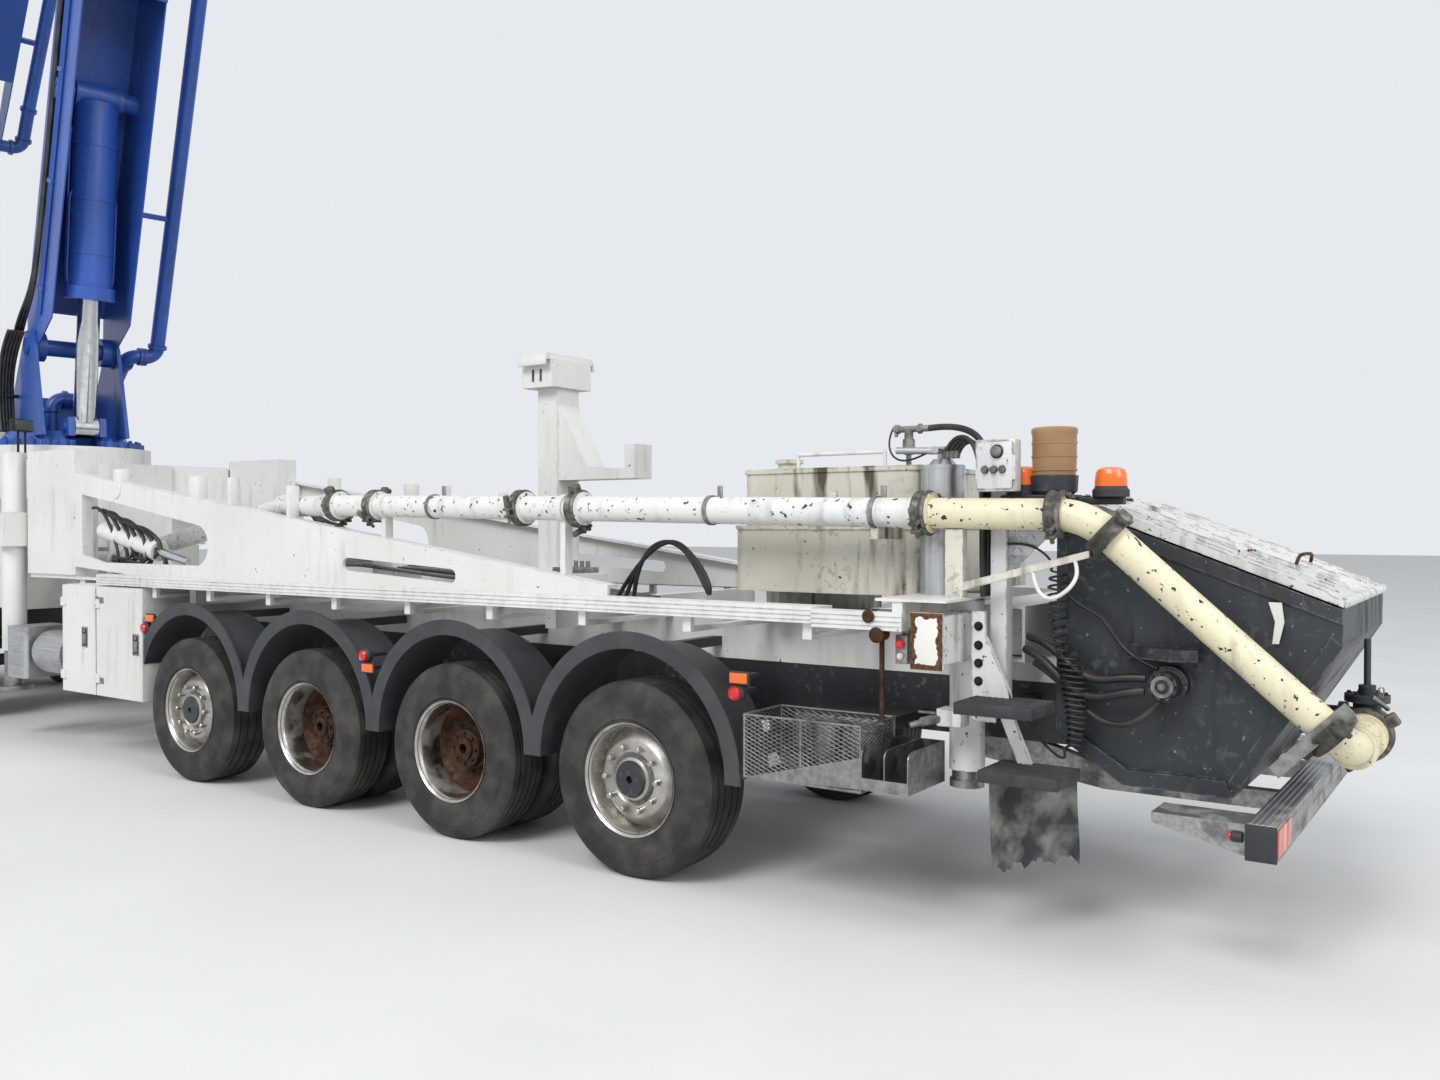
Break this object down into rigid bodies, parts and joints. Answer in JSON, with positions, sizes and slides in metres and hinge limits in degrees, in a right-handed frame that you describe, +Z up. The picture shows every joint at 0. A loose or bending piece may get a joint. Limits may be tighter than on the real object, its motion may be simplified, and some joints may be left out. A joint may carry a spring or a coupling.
{
  "type": "truck-mounted concrete pump",
  "caption": "Concrete pump truck: a placing boom on a slewing turret behind the cab, rear hopper, delivery line along the deck and swing-out outriggers.",
  "frame": {"origin": "on the ground, under the middle of the machine's length and width", "axes": "+X forward, +Y to the truck's left, +Z up"},
  "size_m": [15.26, 3.2528, 15.3801],
  "materials": {
    "aluminium": "brushed aluminium",
    "bare_steel": "bare steel",
    "blue_paint": "gloss blue paint",
    "chrome_steel": "hard chrome",
    "fender_plastic": "moulded dark grey plastic",
    "frame_paint": "dark grey chassis paint",
    "glass": "clear tinted glass",
    "hopper_paint": "dark grey paint with concrete splashes",
    "interior": "dark moulded trim",
    "iron": "cast iron, rusty",
    "pipe_paint": "cream paint, chipped",
    "tyre_rubber": "worn rubber on a steel rim",
    "white_paint": "weathered off-white paint"
  },
  "bodies": {
    "truck": {"chassis": "frame_paint", "axles": "iron", "engine_block": "iron", "cab_shell": "white_paint", "cab_interior": "interior", "cab_glass": "glass", "subframe": "white_paint", "deck": "aluminium", "fenders": "fender_plastic", "locker": "white_paint", "side_tanks": "aluminium", "water_tank": "white_paint", "deck_pipe": "pipe_paint", "pump_unit": "hopper_paint", "hopper": "hopper_paint", "rear_guard": "frame_paint", "side_trays": "aluminium", "vessel": "aluminium", "mudflaps": "tyre_rubber"},
    "wheel_1_left": {"wheel_1_left": "tyre_rubber"},
    "knuckle_1_left": {"knuckle_1_left": "iron"},
    "wheel_1_right": {"wheel_1_right": "tyre_rubber"},
    "knuckle_1_right": {"knuckle_1_right": "iron"},
    "wheel_2_left": {"wheel_2_left": "tyre_rubber"},
    "knuckle_2_left": {"knuckle_2_left": "iron"},
    "wheel_2_right": {"wheel_2_right": "tyre_rubber"},
    "knuckle_2_right": {"knuckle_2_right": "iron"},
    "wheel_3_left": {"wheel_3_left": "tyre_rubber"},
    "wheel_3_right": {"wheel_3_right": "tyre_rubber"},
    "wheel_4_left": {"wheel_4_left": "tyre_rubber"},
    "wheel_4_right": {"wheel_4_right": "tyre_rubber"},
    "wheel_5_left": {"wheel_5_left": "tyre_rubber"},
    "wheel_5_right": {"wheel_5_right": "tyre_rubber"},
    "wheel_6_left": {"wheel_6_left": "tyre_rubber"},
    "knuckle_6_left": {"knuckle_6_left": "iron"},
    "wheel_6_right": {"wheel_6_right": "tyre_rubber"},
    "knuckle_6_right": {"knuckle_6_right": "iron"},
    "cab_door_left": {"cab_door_left": "white_paint", "door_glass_left": "glass"},
    "cab_door_right": {"cab_door_right": "white_paint", "door_glass_right": "glass"},
    "locker_door_front": {"locker_door_front": "white_paint"},
    "locker_door_rear": {"locker_door_rear": "white_paint"},
    "hopper_lid": {"hopper_lid": "white_paint"},
    "agitator": {"agitator": "iron"},
    "front_beam_left": {"front_beam_left": "white_paint"},
    "front_beam_right": {"front_beam_right": "white_paint"},
    "rear_beam_left": {"rear_beam_left": "white_paint"},
    "rear_beam_right": {"rear_beam_right": "white_paint"},
    "front_leg_left": {"front_leg_left": "bare_steel"},
    "front_leg_right": {"front_leg_right": "bare_steel"},
    "rear_leg_left": {"rear_leg_left": "bare_steel"},
    "rear_leg_right": {"rear_leg_right": "bare_steel"},
    "turret": {"turret": "blue_paint"},
    "lift_rod": {"lift_rod": "chrome_steel"},
    "lift_barrel": {"lift_barrel": "blue_paint"},
    "arm_1": {"arm_1": "blue_paint"},
    "arm_2": {"arm_2": "blue_paint"},
    "arm_3": {"arm_3": "blue_paint"},
    "arm_4": {"arm_4": "blue_paint"}
  },
  "joints": [
    {"name": "steer_1_left", "type": "hinge", "parent": "truck", "child": "knuckle_1_left", "pos_m": [6.13, 0.77351, 0.515], "axis": [0, 0, 1], "range_deg": [-30, 30]},
    {"name": "roll_1_left", "type": "hinge", "parent": "knuckle_1_left", "child": "wheel_1_left", "pos_m": [6.13, 0.94351, 0.515], "axis": [0, 1, 0], "continuous": true},
    {"name": "steer_1_right", "type": "hinge", "parent": "truck", "child": "knuckle_1_right", "pos_m": [6.13, -1.08649, 0.515], "axis": [0, 0, 1], "range_deg": [-30, 30]},
    {"name": "roll_1_right", "type": "hinge", "parent": "knuckle_1_right", "child": "wheel_1_right", "pos_m": [6.13, -1.25649, 0.515], "axis": [0, 1, 0], "continuous": true},
    {"name": "steer_2_left", "type": "hinge", "parent": "truck", "child": "knuckle_2_left", "pos_m": [4.43, 0.77351, 0.515], "axis": [0, 0, 1], "range_deg": [-22.5, 22.5]},
    {"name": "roll_2_left", "type": "hinge", "parent": "knuckle_2_left", "child": "wheel_2_left", "pos_m": [4.43, 0.94351, 0.515], "axis": [0, 1, 0], "continuous": true},
    {"name": "steer_2_right", "type": "hinge", "parent": "truck", "child": "knuckle_2_right", "pos_m": [4.43, -1.08649, 0.515], "axis": [0, 0, 1], "range_deg": [-22.5, 22.5]},
    {"name": "roll_2_right", "type": "hinge", "parent": "knuckle_2_right", "child": "wheel_2_right", "pos_m": [4.43, -1.25649, 0.515], "axis": [0, 1, 0], "continuous": true},
    {"name": "roll_3_left", "type": "hinge", "parent": "truck", "child": "wheel_3_left", "pos_m": [-0.22, 0.94351, 0.515], "axis": [0, 1, 0], "continuous": true},
    {"name": "roll_3_right", "type": "hinge", "parent": "truck", "child": "wheel_3_right", "pos_m": [-0.22, -1.25649, 0.515], "axis": [0, 1, 0], "continuous": true},
    {"name": "roll_4_left", "type": "hinge", "parent": "truck", "child": "wheel_4_left", "pos_m": [-1.57, 0.94351, 0.515], "axis": [0, 1, 0], "continuous": true},
    {"name": "roll_4_right", "type": "hinge", "parent": "truck", "child": "wheel_4_right", "pos_m": [-1.57, -1.25649, 0.515], "axis": [0, 1, 0], "continuous": true},
    {"name": "roll_5_left", "type": "hinge", "parent": "truck", "child": "wheel_5_left", "pos_m": [-2.92, 0.94351, 0.515], "axis": [0, 1, 0], "continuous": true},
    {"name": "roll_5_right", "type": "hinge", "parent": "truck", "child": "wheel_5_right", "pos_m": [-2.92, -1.25649, 0.515], "axis": [0, 1, 0], "continuous": true},
    {"name": "steer_6_left", "type": "hinge", "parent": "truck", "child": "knuckle_6_left", "pos_m": [-4.27, 0.77351, 0.515], "axis": [0, 0, 1], "range_deg": [-12, 12]},
    {"name": "roll_6_left", "type": "hinge", "parent": "knuckle_6_left", "child": "wheel_6_left", "pos_m": [-4.27, 0.94351, 0.515], "axis": [0, 1, 0], "continuous": true},
    {"name": "steer_6_right", "type": "hinge", "parent": "truck", "child": "knuckle_6_right", "pos_m": [-4.27, -1.08649, 0.515], "axis": [0, 0, 1], "range_deg": [-12, 12]},
    {"name": "roll_6_right", "type": "hinge", "parent": "knuckle_6_right", "child": "wheel_6_right", "pos_m": [-4.27, -1.25649, 0.515], "axis": [0, 1, 0], "continuous": true},
    {"name": "cab_door_left_swing", "type": "hinge", "parent": "truck", "child": "cab_door_left", "pos_m": [7.107, 1.10851, 2.1], "axis": [0, 0, -1], "range_deg": [0, 70]},
    {"name": "cab_door_right_swing", "type": "hinge", "parent": "truck", "child": "cab_door_right", "pos_m": [7.107, -1.42149, 2.1], "axis": [0, 0, 1], "range_deg": [0, 70]},
    {"name": "locker_door_front_swing", "type": "hinge", "parent": "truck", "child": "locker_door_front", "pos_m": [1.55, 1.10351, 0.945], "axis": [0, 0, -1], "range_deg": [0, 110]},
    {"name": "locker_door_rear_swing", "type": "hinge", "parent": "truck", "child": "locker_door_rear", "pos_m": [1.027, 1.10351, 0.945], "axis": [0, 0, -1], "range_deg": [0, 90]},
    {"name": "hopper_lid_lift", "type": "hinge", "parent": "truck", "child": "hopper_lid", "pos_m": [-6.38, -0.15649, 1.958], "axis": [0, 1, 0], "range_deg": [0, 70]},
    {"name": "agitator_turn", "type": "hinge", "parent": "truck", "child": "agitator", "pos_m": [-6.85, -0.15649, 1.16], "axis": [0, 1, 0], "continuous": true},
    {"name": "front_beam_left_swing", "type": "hinge", "parent": "truck", "child": "front_beam_left", "pos_m": [5.73, 0.92351, 1.8], "axis": [0, 0, -1], "range_deg": [0, 33]},
    {"name": "front_beam_right_swing", "type": "hinge", "parent": "truck", "child": "front_beam_right", "pos_m": [5.73, -1.23649, 2.2], "axis": [0, 0, 1], "range_deg": [0, 33]},
    {"name": "rear_beam_left_slide", "type": "slide", "parent": "truck", "child": "rear_beam_left", "axis": [0, 1, 0], "range_m": [0, 0.7]},
    {"name": "rear_beam_right_slide", "type": "slide", "parent": "truck", "child": "rear_beam_right", "axis": [0, -1, 0], "range_m": [0, 0.7]},
    {"name": "front_leg_left_slide", "type": "slide", "parent": "front_beam_left", "child": "front_leg_left", "axis": [0, 0, -1], "range_m": [0, 0.41]},
    {"name": "front_leg_right_slide", "type": "slide", "parent": "front_beam_right", "child": "front_leg_right", "axis": [0, 0, -1], "range_m": [0, 0.41]},
    {"name": "rear_leg_left_slide", "type": "slide", "parent": "rear_beam_left", "child": "rear_leg_left", "axis": [0, 0, -1], "range_m": [0, 0.61]},
    {"name": "rear_leg_right_slide", "type": "slide", "parent": "rear_beam_right", "child": "rear_leg_right", "axis": [0, 0, -1], "range_m": [0, 0.61]},
    {"name": "slew", "type": "hinge", "parent": "truck", "child": "turret", "pos_m": [4.03, -0.15649, 2.6], "axis": [0, 0, -1], "range_deg": [-10, 355]},
    {"name": "arm_1_lift", "type": "hinge", "parent": "turret", "child": "arm_1", "pos_m": [3.83304, -0.12176, 3.58], "axis": [0.1736, 0.9848, 0], "range_deg": [-72.5, 18.5]},
    {"name": "arm_2_fold", "type": "hinge", "parent": "arm_1", "child": "arm_2", "pos_m": [0.34347, 0.49355, 14.94932], "axis": [-0.1736, -0.9848, 0], "range_deg": [-20, 160]},
    {"name": "arm_3_fold", "type": "hinge", "parent": "arm_2", "child": "arm_3", "pos_m": [7.21124, -0.71743, 6.44236], "axis": [0.1736, 0.9848, 0], "range_deg": [0, 180]},
    {"name": "arm_4_fold", "type": "hinge", "parent": "arm_3", "child": "arm_4", "pos_m": [0.35467, 0.49157, 14.4403], "axis": [0.1736, 0.9848, 0], "range_deg": [0, 180]},
    {"name": "lift_barrel_tilt", "type": "hinge", "parent": "arm_1", "child": "lift_barrel", "pos_m": [3.05278, 0.01582, 5.8773], "axis": [0.1736, 0.9848, 0], "range_deg": [-3, 10.5]},
    {"name": "lift_rod_slide", "type": "slide", "parent": "lift_barrel", "child": "lift_rod", "axis": [0.1366, -0.0241, -0.9903], "range_m": [-0.8, 0.21]}
  ],
  "couplings": [
    {"joint": "steer_1_right", "follows": "steer_1_left", "ratio": 1},
    {"joint": "steer_2_left", "follows": "steer_1_left", "ratio": 0.75},
    {"joint": "steer_2_right", "follows": "steer_1_left", "ratio": 0.75},
    {"joint": "steer_6_left", "follows": "steer_1_left", "ratio": -0.4},
    {"joint": "steer_6_right", "follows": "steer_1_left", "ratio": -0.4},
    {"joint": "lift_barrel_tilt", "follows": "arm_1_lift", "ratio": -0.134},
    {"joint": "lift_rod_slide", "follows": "arm_1_lift", "m_per_rad": 0.61}
  ]
}
